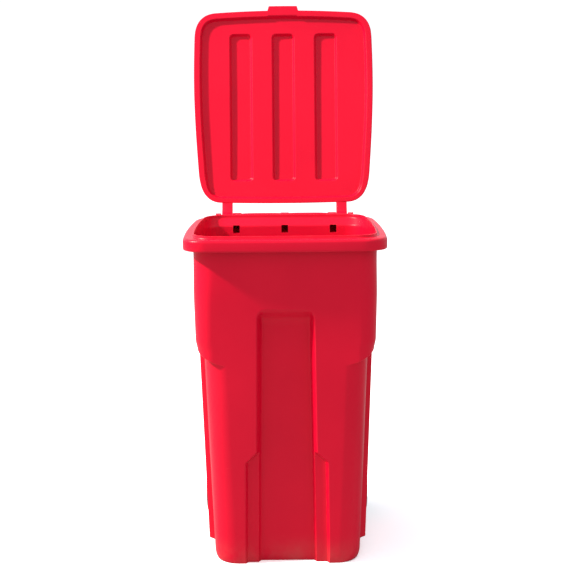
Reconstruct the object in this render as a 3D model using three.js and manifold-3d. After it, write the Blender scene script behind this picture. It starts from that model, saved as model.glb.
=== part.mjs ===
// A two-wheeled 240 litre refuse bin of red moulded polyethylene, standing with its lid thrown open.
// Millimetres, +X to the bin's right, +Y to its back (handle and wheels), +Z up, ground at z = 0.
import * as THREE from 'three';
import { mergeVertices } from 'three/addons/utils/BufferGeometryUtils.js';
import Module from 'manifold-3d';

const wasm = await Module();
wasm.setup();

// Driving dimensions
const WALL = 5;                 // thickness of the tub's walls and floor
const GAP = 0.3;                // air between pieces that touch
const RIM_HALF_WIDTH = 292;
const RIM_HALF_DEPTH = 305;
const RIDGE_TOP = 968;          // the raised inner ridge that the lid closes over
const FLANGE_TOP = 960;
const MOUTH_REAR = 286;         // the back wall flares out to here under the rim
const FLARE_BOTTOM = 935;
const FLARE_TOP = 961;
const FLANGE_THICK = 5;
const SKIRT_BOTTOM = 926;
const NOTCH_TOP = 634;          // slanted undercut where the front corners step in
const NOTCH_BOTTOM = 603;
const NOTCH_INNER_X = 186;
const PANEL_TOP = 668;          // side panels stand proud of the lower body
const PANEL_BOTTOM = 43;
const PANEL_FRONT = -145;
const RECESS_DEPTH = 30;        // tall recess in the middle of the front
const STEP_DEPTH = 15;          // shallower step beside its lower end
const HINGE_Y = 350;            // lid hinge and handle bar share this line
const HINGE_Z = 953;
const PIN_RADIUS = 7.7;
const EYE_BORE = 8;
const EYE_RADIUS = 15;
const LID_OPEN_DEG = 100;       // the lid stops ten degrees past upright
const LID_FRONT = -324;
const LID_REAR = 306;
const LID_TAPER = 4;            // the lid is that much narrower than the rim at its back corners
const LID_LIP = 22;             // flat band round the lid's underside, narrower along the back
const LID_REAR_LIP = 16;
const LID_THICK = 4;
const RIB_PITCH = 138.5;
const RIB_HALF_WIDTH = 34.5;
const RIB_REACH = 239;          // from the middle of a lid rib to its end
const ARM_CENTRE = 186;
const ARM_WIDTH = 34;
const GUSSET_CENTRE = 154;
const GUSSET_WIDTH = 28;
const SLOT_WIDTH = 21;          // opening into each gusset from inside the tub
const LUG_INNER = 206;
const LUG_OUTER = 218;
const GRIP_RADIUS = 12.5;
const AXLE_Y = 238;
const AXLE_Z = 100;             // also the wheel's radius
const AXLE_RADIUS = 11;
const AXLE_HALF = 259;
const BORE_RADIUS = AXLE_RADIUS + GAP;
const WELL_X = 203;             // flat side of each wheel well
const WELL_RADIUS = 110;
const HUB_INNER = 214;
const HUB_OUTER = 252;
const TYRE_INNER = 212;
const TYRE_OUTER = 258;
const ROUND_STEPS = 24;

// How the moulding's outer faces lean: sizes at height z
const frontAt = (z) => -247 - 29 * z / 950;
const rearAt = (z) => 215 + 47 * z / 950;
const upperHalfAt = (z) => 264 - 6 * Math.max(0, 950 - z) / 288;
const coreHalfAt = (z) => 213 + 0.035 * z;
const panelHalfAt = (z) => 233 + (z - PANEL_BOTTOM) * 22 / 622;

const redPlastic = new THREE.MeshStandardMaterial({ color: 0xd3141f, roughness: 0.42, metalness: 0 });
const blackPlastic = new THREE.MeshStandardMaterial({ color: 0x17181a, roughness: 0.5, metalness: 0 });
const blackRubber = new THREE.MeshStandardMaterial({ color: 0x0f1011, roughness: 0.85, metalness: 0 });
const greyNylon = new THREE.MeshStandardMaterial({ color: 0x8b8c8a, roughness: 0.5, metalness: 0 });
const zincSteel = new THREE.MeshStandardMaterial({ color: 0xb9bcc0, roughness: 0.35, metalness: 1 });

// ---- Solids -------------------------------------------------------------------------------------

function solid(geometry) {
  geometry.deleteAttribute('normal');
  geometry.deleteAttribute('uv');
  const merged = mergeVertices(geometry, 1e-4);
  return new wasm.Manifold(new wasm.Mesh({
    numProp: 3,
    vertProperties: new Float32Array(merged.attributes.position.array),
    triVerts: new Uint32Array(merged.index.array),
  }));
}

const union = (solids) => solids.reduce((joined, next) => joined.add(next));

// A stack of one outline, whose half width, front and rear are set at each level
function prism(outline, levels) {
  const geometry = new THREE.ExtrudeGeometry(outline, {
    depth: levels.length - 1, steps: levels.length - 1, bevelEnabled: false, curveSegments: 5,
  });
  geometry.computeBoundingBox();
  const { min, max } = geometry.boundingBox;
  const position = geometry.attributes.position;
  for (let i = 0; i < position.count; i += 1) {
    const level = levels[Math.round(position.getZ(i))];
    const across = (position.getX(i) - min.x) / (max.x - min.x) * 2 - 1;
    const along = (position.getY(i) - min.y) / (max.y - min.y);
    position.setXYZ(i, level.half * across, level.front + (level.rear - level.front) * along, level.z);
  }
  return solid(geometry);
}

// A block between two corners
function block(x0, x1, y0, y1, z0, z1) {
  const geometry = new THREE.BoxGeometry(x1 - x0, y1 - y0, z1 - z0);
  geometry.translate((x0 + x1) / 2, (y0 + y1) / 2, (z0 + z1) / 2);
  return solid(geometry);
}

// A round bar along X between x0 and x1
function bar(radius, x0, x1, y, z, steps = ROUND_STEPS) {
  const geometry = new THREE.CylinderGeometry(radius, radius, Math.abs(x1 - x0), steps);
  geometry.rotateZ(Math.PI / 2);
  geometry.translate((x0 + x1) / 2, y, z);
  return solid(geometry);
}

// A plate of the (y, z) outline, between x0 and x1
function sidePlate(points, x0, x1) {
  const shape = new THREE.Shape(points.map(([y, z]) => new THREE.Vector2(y, z)));
  const geometry = new THREE.ExtrudeGeometry(shape, { depth: x1 - x0, bevelEnabled: false });
  geometry.rotateY(Math.PI / 2);
  geometry.rotateX(Math.PI / 2);
  geometry.translate(x0, 0, 0);
  return solid(geometry);
}

// A turned piece on the wheel axle: the profile's points are [distance along X, radius], anticlockwise
function turned(profile, steps = ROUND_STEPS) {
  const points = profile.map(([x, radius]) => new THREE.Vector2(radius, x)).reverse();
  const geometry = new THREE.LatheGeometry(points, steps);
  geometry.rotateZ(-Math.PI / 2);
  geometry.translate(0, AXLE_Y, AXLE_Z);
  return solid(geometry);
}

const mirrored = (piece) => piece.mirror([1, 0, 0]);
const onBothSides = (piece) => piece.add(mirrored(piece));

function named(name, piece, material) {
  const { vertProperties, triVerts } = piece.getMesh();
  const geometry = new THREE.BufferGeometry();
  geometry.setAttribute('position', new THREE.BufferAttribute(new Float32Array(vertProperties), 3));
  geometry.setIndex(new THREE.BufferAttribute(new Uint32Array(triVerts), 1));
  const mesh = new THREE.Mesh(geometry, material);
  mesh.name = name;
  return mesh;
}

// ---- Outlines seen from above --------------------------------------------------------------------

// A rectangle with front corners of one radius and rear corners of another
function roundedRectangle(half, front, rear, frontRadius, rearRadius) {
  const shape = new THREE.Shape();
  shape.moveTo(-half + frontRadius, front);
  shape.lineTo(half - frontRadius, front);
  shape.absarc(half - frontRadius, front + frontRadius, frontRadius, -Math.PI / 2, 0);
  shape.lineTo(half, rear - rearRadius);
  shape.absarc(half - rearRadius, rear - rearRadius, rearRadius, 0, Math.PI / 2);
  shape.lineTo(-half + rearRadius, rear);
  shape.absarc(-half + rearRadius, rear - rearRadius, rearRadius, Math.PI / 2, Math.PI);
  shape.lineTo(-half, front + frontRadius);
  shape.absarc(-half + frontRadius, front + frontRadius, frontRadius, Math.PI, 1.5 * Math.PI);
  return shape;
}

// Rim and lid share this outline, with gently bulged sides and full back corners, drawn in by the taper
function rimOutline(taper = 0) {
  const shape = new THREE.Shape();
  shape.moveTo(-222, -298);
  shape.quadraticCurveTo(0, -312, 222, -298);
  shape.quadraticCurveTo(283, -292, 289, -228);
  shape.quadraticCurveTo(298, -20, 283 - taper, 200);
  shape.quadraticCurveTo(279 - taper, 296, 214 - 2 * taper, 302);
  shape.quadraticCurveTo(0, 308, 2 * taper - 214, 302);
  shape.quadraticCurveTo(taper - 279, 296, taper - 283, 200);
  shape.quadraticCurveTo(-298, -20, -289, -228);
  shape.quadraticCurveTo(-283, -292, -222, -298);
  return shape;
}

const rimLevel = (z, inset) => ({
  z, half: RIM_HALF_WIDTH - inset, front: inset - RIM_HALF_DEPTH, rear: RIM_HALF_DEPTH - inset,
});

// ---- Tub -----------------------------------------------------------------------------------------

// Upper body, lower core and side panels, each drawn in by the inset for the hollow inside them
function tubMass(inset) {
  const upperLevel = (z) => ({
    z, half: upperHalfAt(z) - inset, front: frontAt(z) + inset, rear: rearAt(z) - inset,
  });
  const coreLevel = (z, pinch = 0) => ({
    z, half: coreHalfAt(z) - inset - pinch, front: frontAt(z) + inset + 0.8 + 0.25 * pinch,
    rear: rearAt(z) - inset - 0.8,
  });
  const panelLevel = (z) => ({
    z, half: panelHalfAt(z) - inset, front: PANEL_FRONT + inset, rear: rearAt(z) - inset - 1.6,
  });
  const top = FLANGE_TOP - FLANGE_THICK;
  const upperOutline = roundedRectangle(258, -270, 255, 46 - inset, 80 - inset);
  const coreOutline = roundedRectangle(220, -255, 225, 66 - inset, 40 - inset);
  const panelOutline = roundedRectangle(243, PANEL_FRONT, 225, 12 - inset / 2, 50 - inset);
  const upper = prism(upperOutline, [upperLevel(NOTCH_BOTTOM), upperLevel(662), upperLevel(top)]);
  const ceiling = inset * 1.4;
  const cornerCut = prism(
    new THREE.Shape([[-1, -1], [1, -1], [1, 1], [-1, 1]].map(([x, y]) => new THREE.Vector2(x, y))),
    [{ z: 0, half: 26, front: -400, rear: 400 }, { z: NOTCH_BOTTOM, half: 26, front: -400, rear: 400 },
      { z: NOTCH_TOP + 34, half: 26, front: -400, rear: 400 }]);
  const slanted = cornerCut.warp((vertex) => {
    const rise = vertex[2] > NOTCH_TOP ? (vertex[0] > 0 ? 62 : 0) : 0;
    vertex[2] = vertex[2] > NOTCH_TOP ? NOTCH_BOTTOM + rise + ceiling : vertex[2] - 20;
    vertex[0] = vertex[0] > 0 ? NOTCH_INNER_X + 108 : NOTCH_INNER_X;
  });
  const coreLevels = inset > 0
    ? [coreLevel(WALL, 10), coreLevel(30), coreLevel(640)]
    : [coreLevel(0, 11), coreLevel(8, 4), coreLevel(28), coreLevel(640)];
  const core = prism(coreOutline, coreLevels);
  const panels = prism(panelOutline, [panelLevel(PANEL_BOTTOM + inset), panelLevel(PANEL_TOP - inset)]);
  return union([upper.subtract(onBothSides(slanted)), core, panels]);
}

// The recess down the front, and the shallow step beside its lower end, grown for the wall behind
function frontRecess(grow) {
  const outline = new THREE.Shape();
  outline.moveTo(-1, 0);
  outline.lineTo(1, 0);
  outline.lineTo(1, 0.4);
  outline.lineTo(0.92, 1);
  outline.lineTo(-0.92, 1);
  outline.lineTo(-1, 0.4);
  const level = (z, half, depth) => ({
    z, half: half + grow, front: frontAt(z) - 20, rear: frontAt(z) + depth + grow,
  });
  const deep = [level(-1, 89.5, RECESS_DEPTH), level(731, 78, RECESS_DEPTH), level(754 + grow, 77, 0)];
  const shallow = [
    level(-1, 120, STEP_DEPTH), level(308, 115, STEP_DEPTH), level(338 + grow, 84, STEP_DEPTH),
  ];
  return prism(outline, deep).add(prism(outline, shallow));
}

// The mouth, on the rim's own outline and flared at the back: its raised ridge, or the opening inside it
function mouth(inset, top) {
  const level = (z, rear) => ({
    z, half: upperHalfAt(RIDGE_TOP) - inset, front: frontAt(RIDGE_TOP) + inset, rear: rear - inset,
  });
  return prism(rimOutline(), [level(FLARE_BOTTOM, rearAt(FLARE_BOTTOM)), level(FLARE_TOP, MOUTH_REAR),
    level(top, MOUTH_REAR)]);
}

// The room each wheel turns in: open below, behind and outwards
function wheelWells(grow) {
  const x0 = WELL_X - grow;
  const arch = bar(WELL_RADIUS + grow, x0, 320, AXLE_Y, AXLE_Z);
  const behind = block(x0, 320, AXLE_Y, AXLE_Y + 200, -10, AXLE_Z + WELL_RADIUS + grow);
  const below = block(x0, 320, AXLE_Y - WELL_RADIUS - grow, AXLE_Y + 1, -10, AXLE_Z);
  return onBothSides(union([arch, behind, below]));
}

// Downturned flange round the mouth
function rimTray() {
  const outer = prism(rimOutline(), [rimLevel(SKIRT_BOTTOM, 0), rimLevel(FLANGE_TOP, 0)]);
  const underside = FLANGE_TOP - FLANGE_THICK;
  return outer.subtract(prism(rimOutline(), [rimLevel(SKIRT_BOTTOM - 5, WALL), rimLevel(underside, WALL)]));
}

// Hollow gussets that carry the handle bar and the lid pins, and the lugs outside the lid's arms
function handleFrame() {
  const half = GUSSET_WIDTH / 2;
  const rib = [[256, 945], [312, 953], [HINGE_Y, 966.5], [HINGE_Y + 13.5, HINGE_Z], [HINGE_Y, 939.5],
    [254, 790], [245, 800]];
  const lug = [[300, 928], [300, 950], [HINGE_Y, 965.5], [HINGE_Y + 12.5, HINGE_Z], [HINGE_Y, 940.5],
    [322, 926]];
  const gussets = [-GUSSET_CENTRE, 0, GUSSET_CENTRE].map((x) => sidePlate(rib, x - half, x + half));
  const grip = bar(GRIP_RADIUS, -GUSSET_CENTRE, GUSSET_CENTRE, HINGE_Y, HINGE_Z);
  const outerLug = sidePlate(lug, LUG_INNER, LUG_OUTER);
  const stop = block(GUSSET_CENTRE, LUG_OUTER - 2, 299, 339, 928, 934);
  return union([...gussets, grip, onBothSides(outerLug), onBothSides(stop)]);
}

// The gussets' hollow insides, which open into the tub as three slots under the rim
function gussetSlots() {
  const hollow = [[220, 936], [318, 936], [332, 932], [300, 912], [220, 911]];
  const half = SLOT_WIDTH / 2;
  return union([-GUSSET_CENTRE, 0, GUSSET_CENTRE].map((x) => sidePlate(hollow, x - half, x + half)));
}

// Bores for the lid pins, blind in the outer gussets
function pinBores() {
  return onBothSides(bar(EYE_BORE, GUSSET_CENTRE - 6, LUG_OUTER + 5, HINGE_Y, HINGE_Z));
}

// Eyes under the back wall that the axle passes through
function axleBrackets() {
  const cheek = [[190, 62], [232, 62], [254, 78], [254, 122], [232, 140], [190, 150]];
  const inner = sidePlate(cheek, 60, 76);
  const outer = sidePlate(cheek, 185, WELL_X);
  return union([onBothSides(inner), onBothSides(outer)]);
}

function tub() {
  const outside = tubMass(0).subtract(frontRecess(0)).subtract(wheelWells(0));
  const inside = tubMass(WALL).subtract(frontRecess(WALL)).subtract(wheelWells(WALL));
  const shell = union([outside, rimTray(), mouth(0, RIDGE_TOP), handleFrame(), axleBrackets()]);
  const axleBore = bar(BORE_RADIUS, -WELL_X - 5, WELL_X + 5, AXLE_Y, AXLE_Z);
  return shell.subtract(union([inside, mouth(WALL, RIDGE_TOP + 10), gussetSlots(), pinBores(), axleBore]));
}

// ---- Lid, drawn closed -----------------------------------------------------------------------------

const lidLevel = (z, inset, rearInset = inset) => ({
  z, half: RIM_HALF_WIDTH - inset, front: LID_FRONT + inset, rear: LID_REAR - rearInset,
});

// Three long ribs with rounded corners, raised outside and hollow inside
function lidRibs(half, z0, z1, draft) {
  const outline = roundedRectangle(half, -RIB_REACH, RIB_REACH, 12, 12);
  const middle = (LID_FRONT + LID_REAR) / 2;
  const reach = RIB_REACH - RIB_HALF_WIDTH + half;
  const levels = [{ z: z0, half, front: middle - reach, rear: middle + reach },
    { z: z1, half: half - draft, front: middle - reach + draft, rear: middle + reach - draft }];
  return union([-RIB_PITCH, 0, RIB_PITCH].map((x) => prism(outline, levels).translate([x, 0, 0])));
}

function lidArm() {
  const x0 = ARM_CENTRE - ARM_WIDTH / 2;
  const x1 = ARM_CENTRE + ARM_WIDTH / 2;
  const neck = [[284, 961], [300, 961], [320, 959], [HINGE_Y - 8, HINGE_Z - 12],
    [HINGE_Y + 8, HINGE_Z - 12], [HINGE_Y + 8, HINGE_Z + 13], [322, 979], [284, 979]];
  const heel = block(x0, x1, HINGE_Y, HINGE_Y + 26, HINGE_Z - 6, HINGE_Z + 6);
  const eye = bar(EYE_RADIUS, x0, x1, HINGE_Y, HINGE_Z);
  return union([sidePlate(neck, x0, x1), heel, eye]);
}

function lid() {
  const lipBottom = FLANGE_TOP + GAP;
  const outline = rimOutline(LID_TAPER);
  const plate = prism(outline, [lidLevel(lipBottom, 0), lidLevel(lipBottom + LID_THICK, 0)]);
  const crown = prism(outline, [lidLevel(lipBottom, LID_LIP - LID_THICK, LID_REAR_LIP - LID_THICK),
    lidLevel(977, LID_LIP - 2, LID_REAR_LIP - 3), lidLevel(985, 50, 36)]);
  const tab = block(-48, 48, LID_FRONT - 16, LID_FRONT + 12, lipBottom, lipBottom + 5);
  const ribs = lidRibs(RIB_HALF_WIDTH + LID_THICK, 965, 996, 5);
  const solidLid = union([plate, crown, ribs, tab, onBothSides(lidArm())]);
  const hollow = prism(outline, [lidLevel(lipBottom - 2, LID_LIP, LID_REAR_LIP),
    lidLevel(973, LID_LIP + 2, LID_REAR_LIP + 1), lidLevel(981, 54, 40)]);
  return solidLid.subtract(hollow).subtract(lidRibs(RIB_HALF_WIDTH, 965, 992, 4))
    .subtract(onBothSides(bar(EYE_BORE, 160, 212, HINGE_Y, HINGE_Z)));
}

// ---- Wheels and axle --------------------------------------------------------------------------------

function tyre() {
  return turned([[TYRE_INNER, 82], [TYRE_OUTER, 82], [TYRE_OUTER, 93], [TYRE_OUTER - 7, AXLE_Z],
    [TYRE_INNER + 7, AXLE_Z], [TYRE_INNER, 93], [TYRE_INNER, 82]], 36);
}

function wheelCore() {
  const rim = turned([[TYRE_INNER + 3, 74], [TYRE_OUTER - 3, 74], [TYRE_OUTER - 3, 82 - GAP],
    [TYRE_INNER + 3, 82 - GAP], [TYRE_INNER + 3, 74]], 36);
  const hub = turned([[HUB_INNER, BORE_RADIUS], [HUB_OUTER, BORE_RADIUS], [HUB_OUTER, 24], [HUB_INNER, 24],
    [HUB_INNER, BORE_RADIUS]]);
  const web = turned([[232, 22], [238, 22], [238, 76], [232, 76], [232, 22]], 36);
  const spokes = [];
  for (let i = 0; i < 8; i += 1) {
    const spoke = block(218, 250, -3, 3, 22, 76);
    spokes.push(spoke.rotate([45 * i, 0, 0]).translate([0, AXLE_Y, AXLE_Z]));
  }
  return union([rim, hub, web, ...spokes]);
}

// A flat or domed ring on the axle
const ring = (x0, x1, radius) => turned([[x0, BORE_RADIUS], [x1, BORE_RADIUS], [x1, radius], [x0, radius],
  [x0, BORE_RADIUS]]);

function hubCap() {
  const inner = HUB_OUTER + GAP;
  return turned([[262, 0], [262, 21], [259, 24], [inner, 24], [inner, 21], [260, 21], [260, 0]]);
}

function axle() {
  return bar(AXLE_RADIUS, -AXLE_HALF, AXLE_HALF, AXLE_Y, AXLE_Z);
}

// ---- Lid pins --------------------------------------------------------------------------------------

// Headed pin, hollow at its inner end for the plug that spreads it
function lidPin() {
  const tip = GUSSET_CENTRE - 5;
  const shank = bar(PIN_RADIUS, tip, LUG_OUTER + GAP, HINGE_Y, HINGE_Z);
  const head = bar(13, LUG_OUTER + GAP, LUG_OUTER + 5, HINGE_Y, HINGE_Z);
  return shank.add(head).subtract(bar(3.3, tip - 1, LUG_OUTER + 6, HINGE_Y, HINGE_Z));
}

function pinPlug() {
  const tip = GUSSET_CENTRE - 4;
  const stem = bar(3, tip, LUG_OUTER + 5 + GAP, HINGE_Y, HINGE_Z);
  return stem.add(bar(7, LUG_OUTER + 5 + GAP, LUG_OUTER + 7.5, HINGE_Y, HINGE_Z));
}

// ---- Assembly --------------------------------------------------------------------------------------

const bin = new THREE.Group();
bin.add(named('tub', tub(), redPlastic));
bin.add(named('axle', axle(), zincSteel));

const lidHinge = new THREE.Group();
lidHinge.position.set(0, HINGE_Y, HINGE_Z);
lidHinge.rotation.x = -THREE.MathUtils.degToRad(LID_OPEN_DEG);
lidHinge.add(named('lid', lid().translate([0, -HINGE_Y, -HINGE_Z]), redPlastic));
bin.add(lidHinge);

for (const side of ['right', 'left']) {
  const place = (piece) => (side === 'right' ? piece : mirrored(piece));
  bin.add(named(`lid_pin_${side}`, place(lidPin()), redPlastic));
  bin.add(named(`pin_plug_${side}`, place(pinPlug()), redPlastic));
  bin.add(named(`tyre_${side}`, place(tyre()), blackRubber));
  bin.add(named(`wheel_core_${side}`, place(wheelCore()), blackPlastic));
  bin.add(named(`hub_cap_${side}`, place(hubCap()), blackPlastic));
  bin.add(named(`axle_spacer_${side}`, place(ring(WELL_X + GAP, HUB_INNER - GAP, 17)), greyNylon));
  bin.add(named(`axle_washer_${side}`, place(ring(HUB_OUTER + GAP, 254.3, 19)), zincSteel));
  bin.add(named(`lock_ring_${side}`, place(ring(254.6, 257.6, 17)), zincSteel));
}

export default bin;
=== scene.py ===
import math

import bmesh
import bpy
import numpy as np
from mathutils import Matrix, Vector


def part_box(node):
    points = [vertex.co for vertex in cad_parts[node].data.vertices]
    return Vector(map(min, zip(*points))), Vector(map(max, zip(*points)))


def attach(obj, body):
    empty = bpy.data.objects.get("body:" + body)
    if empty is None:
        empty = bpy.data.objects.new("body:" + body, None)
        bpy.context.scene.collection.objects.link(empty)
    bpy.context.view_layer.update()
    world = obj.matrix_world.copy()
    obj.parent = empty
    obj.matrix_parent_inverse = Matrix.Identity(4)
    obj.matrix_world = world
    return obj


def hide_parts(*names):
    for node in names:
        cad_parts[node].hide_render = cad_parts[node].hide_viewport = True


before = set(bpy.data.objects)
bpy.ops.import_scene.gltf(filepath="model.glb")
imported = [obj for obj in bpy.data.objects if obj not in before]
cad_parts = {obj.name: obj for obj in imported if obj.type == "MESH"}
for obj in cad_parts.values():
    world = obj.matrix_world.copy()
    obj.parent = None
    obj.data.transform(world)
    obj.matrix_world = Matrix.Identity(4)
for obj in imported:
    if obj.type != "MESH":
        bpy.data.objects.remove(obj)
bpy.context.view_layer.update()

# ---- Tub: the wall ---------------------------------------------------------------------------------
# The bin's body is one shot of red polyethylene, drawn off a tapered core. Its front has a tall recess with
# a shallower step at the foot, its front corners are cut back below a slanted undercut, and a side panel
# stands proud on each flank. It is lofted from one outline at each height, with every edge softly rounded.
tub_low, tub_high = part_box("tub")
WALL = 0.0045
TAPER_HEIGHT = 0.95
FRONT_SETBACK = 0.058
FRONT_LEAN = 0.029
REAR_FOOT = 0.215
REAR_LEAN = 0.047
FLANK_FOOT = 0.233
FLANK_DRAFT = 0.0335
KINK_LOW = 0.640
KINK_HIGH = 0.662
KINK_ROUND = 0.004
CORE_FOOT = 0.213
CORE_DRAFT = 0.035
CORE_RADIUS = 0.066
LOW_CORNER_RADIUS = 0.046
HIGH_CORNER_RADIUS = 0.060
HEEL_RADIUS = 0.060
RIM_HALF = tub_high.x
RIM_FRONT = tub_low.y
RIM_REAR = -RIM_FRONT
RIDGE_TOP = 0.968
FLANGE_TOP = 0.960
SKIRT_BOTTOM = 0.926
NOTCH_LOW = 0.603
NOTCH_RISE = 0.036
NOTCH_HEIGHT = 0.009
PANEL_EDGE = -0.150
PANEL_WALL = 0.007
PANEL_FOOT = 0.0445
RECESS_FOOT_HALF = 0.0905
RECESS_NARROWING = 0.0105
RECESS_RUN = 0.731
RECESS_TOP = 0.757
RECESS_DEPTH = 0.030
RECESS_WALL = 0.0112
RECESS_CORNER = 0.026
RECESS_SLOPE = 0.034
STEP_TOP = 0.338
STEP_CHAMFER = 0.030
STEP_REACH = 0.032
STEP_DEPTH = 0.015
STEP_WALL = 0.006
FOOT_ROUND = 0.030
FOOT_PINCH = 0.011
FOOT_FRONT = 0.25
FLARE = 0.023
FLARE_LOW = 0.935
FLARE_HEIGHT = 0.022


def soft_clip(t, blend):
    """Zero below nought and t above it, with a rounded corner of that half width."""
    return np.where(t <= -blend, 0.0, np.where(t >= blend, t, (t + blend) ** 2 / (4 * blend)))


def ramp(t, blend=0.3):
    """Climbs from 0 to 1 as t does, with both corners rounded."""
    t = np.asarray(t, float)
    return soft_clip(t, blend) - soft_clip(t - 1, blend)


def mix(a, b, share):
    return a + (b - a) * share


def front_at(z):
    return RIM_FRONT + FRONT_SETBACK - FRONT_LEAN * z / TAPER_HEIGHT


def rear_at(z):
    return REAR_FOOT + REAR_LEAN * z / TAPER_HEIGHT


def flank_at(z):
    """Half width over the side panels: they lean out, kink, and rise almost upright to the rim."""
    kink = soft_clip(z - KINK_LOW, KINK_ROUND) * 0.19 - soft_clip(z - KINK_HIGH, KINK_ROUND) * 0.2
    return FLANK_FOOT + (z - 0.043) * FLANK_DRAFT + kink


def core_at(z):
    """Half width behind the panels and between the cut-back corners."""
    return CORE_FOOT + CORE_DRAFT * z


def recess_half(z):
    return RECESS_FOOT_HALF - RECESS_NARROWING * z / RECESS_RUN


def front_depth(x, z, inset):
    """How far the front is pressed in at x: the tall recess, and the step beside its foot."""
    edge = recess_half(z) + inset
    across = edge - x
    below = RECESS_TOP + inset * 0.5 - z
    radius = RECESS_CORNER + inset
    corner = radius - np.hypot(radius - across, radius - below)
    border = np.where((across < radius) & (below < radius), corner, np.minimum(across, below))
    side = border / RECESS_WALL
    top = below / RECESS_SLOPE
    both = -np.logaddexp(-side * 5, -top * 5) / 5
    deep = (RECESS_DEPTH + inset) * ramp(both, 0.35)
    reach = STEP_REACH - soft_clip((z - STEP_TOP + STEP_CHAMFER) / STEP_CHAMFER, 0.1) * STEP_REACH
    shallow = (STEP_DEPTH + inset) * ramp((edge + reach - x) / STEP_WALL, 0.3)
    return np.maximum(deep, shallow)


# Fractions along each stretch of half the outline, closest together where the surface turns
STRETCHES = {"floor": 16, "wall": 9, "ledge": 4, "step": 7, "face": 12, "corner": 22, "shoulder": 6,
             "edge": 7, "flank": 24, "heel": 16, "back": 14}


def along(name, last=False):
    return np.linspace(0, 1, STRETCHES[name] + (1 if last else 0), endpoint=last)


def half_outline(z, inset=0.0):
    """Points of the right half of the tub's outline at height z, from the front's middle to the back's."""
    # The rounded foot
    foot = FOOT_ROUND - min(z, FOOT_ROUND)
    pinch = FOOT_PINCH * (1 - math.sqrt(max(0.0, 1 - (foot / FOOT_ROUND) ** 2)))
    front = front_at(z) + inset
    rear = rear_at(z) - inset - pinch * 0.4
    flank = float(flank_at(z)) - inset
    core = core_at(z) - inset - pinch
    widening = float(ramp((z - 0.62) / 0.3))
    upper_radius = mix(LOW_CORNER_RADIUS, HIGH_CORNER_RADIUS, widening) - inset
    core_radius = CORE_RADIUS - inset - pinch * 0.3

    # The slanted undercut: nought above it, one below
    turn = along("corner")
    notch_low = NOTCH_LOW + inset * 0.5
    cut = ramp((notch_low + NOTCH_RISE * turn - z) / NOTCH_HEIGHT, 0.3)
    cut_face = float(cut[0])
    cut_side = float(ramp((notch_low + NOTCH_RISE - z) / NOTCH_HEIGHT, 0.3))

    # The front, out from its middle
    edge = recess_half(z) + inset
    reach = max(0.010, STEP_REACH * min(1.0, max(0.0, (STEP_TOP - z) / STEP_CHAMFER)))
    face_end = mix(flank - upper_radius, core - core_radius, cut_face)
    past = 0.0015
    step_end = edge + reach
    knots = [0.0, edge - RECESS_WALL * 1.3, edge + past, step_end - STEP_WALL, step_end + past, face_end]
    shares = [along(name) for name in ("floor", "wall", "ledge", "step", "face")]
    shares[0] = 1 - (1 - shares[0]) ** 1.7
    x = np.concatenate([mix(knots[i], knots[i + 1], share) for i, share in enumerate(shares)])
    y = front + np.maximum(pinch * FOOT_FRONT, front_depth(x, z, inset))
    points = [np.stack([x, y], 1)]

    # The front corner, from its full size above the undercut to the core's below
    angle = turn * math.pi / 2
    sin_cos = np.stack([np.sin(angle), -np.cos(angle)], 1)
    upper_arc = np.array([flank - upper_radius, front + upper_radius]) + sin_cos * upper_radius
    core_front = front + pinch * FOOT_FRONT
    core_arc = np.array([core - core_radius, core_front + core_radius]) + sin_cos * core_radius
    points.append(upper_arc + (core_arc - upper_arc) * cut[:, None])

    shoulder_x = mix(flank, core, cut_side)
    shoulder_y = mix(front + upper_radius, core_front + core_radius, cut_side)
    panel_front = PANEL_EDGE + inset
    y = mix(shoulder_y, panel_front - past, along("shoulder"))
    points.append(np.stack([np.full_like(y, shoulder_x), y], 1))

    # The side panel's front edge and its face
    proud = mix(flank, min(core, flank), float(ramp((PANEL_FOOT + inset - z) / 0.006, 0.3)))
    y = mix(panel_front - past, panel_front + PANEL_WALL + past, along("edge"))
    rise = ramp((y - panel_front) / PANEL_WALL, 0.3)
    points.append(np.stack([mix(shoulder_x, proud, rise), y], 1))

    heel_radius = HEEL_RADIUS - inset
    y = mix(panel_front + PANEL_WALL + past, rear - heel_radius, along("flank"))
    points.append(np.stack([np.full_like(y, proud), y], 1))

    # The rear corner and the back
    angle = along("heel") * math.pi / 2
    sin_cos = np.stack([np.cos(angle), np.sin(angle)], 1)
    points.append(np.array([proud - heel_radius, rear - heel_radius]) + sin_cos * heel_radius)

    x = mix(proud - heel_radius, 0.0, along("back", last=True))
    points.append(np.stack([x, np.full_like(x, rear)], 1))
    return np.concatenate(points)


def mouth_half_outline(z, inset=0.0):
    """The rim's outline shrunk to the size of the tub's wall at height z, and flared at the back."""
    low = front_at(z) + inset
    high = rear_at(z) - inset + FLARE * float(ramp((z - FLARE_LOW) / FLARE_HEIGHT, 0.12))
    half = rim_half * np.array([(float(flank_at(z)) - inset) / RIM_HALF, 1])
    half[:, 1] = low + (half[:, 1] - RIM_FRONT) / (RIM_REAR - RIM_FRONT) * (high - low)
    return half


def wall_half(z, inset=0.0):
    """The tub's outline at height z, which turns into the rim's own outline on the way up."""
    return mix(half_outline(z, inset), mouth_half_outline(z, inset), float(ramp((z - 0.80) / 0.10)))


def whole_ring(half, z):
    """Both halves of an outline as one closed ring of points at height z, anticlockwise from above."""
    other = half[-2:0:-1] * np.array([-1, 1])
    flat = np.concatenate([half, other])
    return np.column_stack([flat, np.full(len(flat), z)])


def new_piece(name, points, faces, edges=()):
    mesh = bpy.data.meshes.new(name)
    mesh.from_pydata([tuple(p) for p in points], list(edges), faces)
    mesh.update()
    piece = bpy.data.objects.new(name, mesh)
    bpy.context.scene.collection.objects.link(piece)
    return piece


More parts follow.
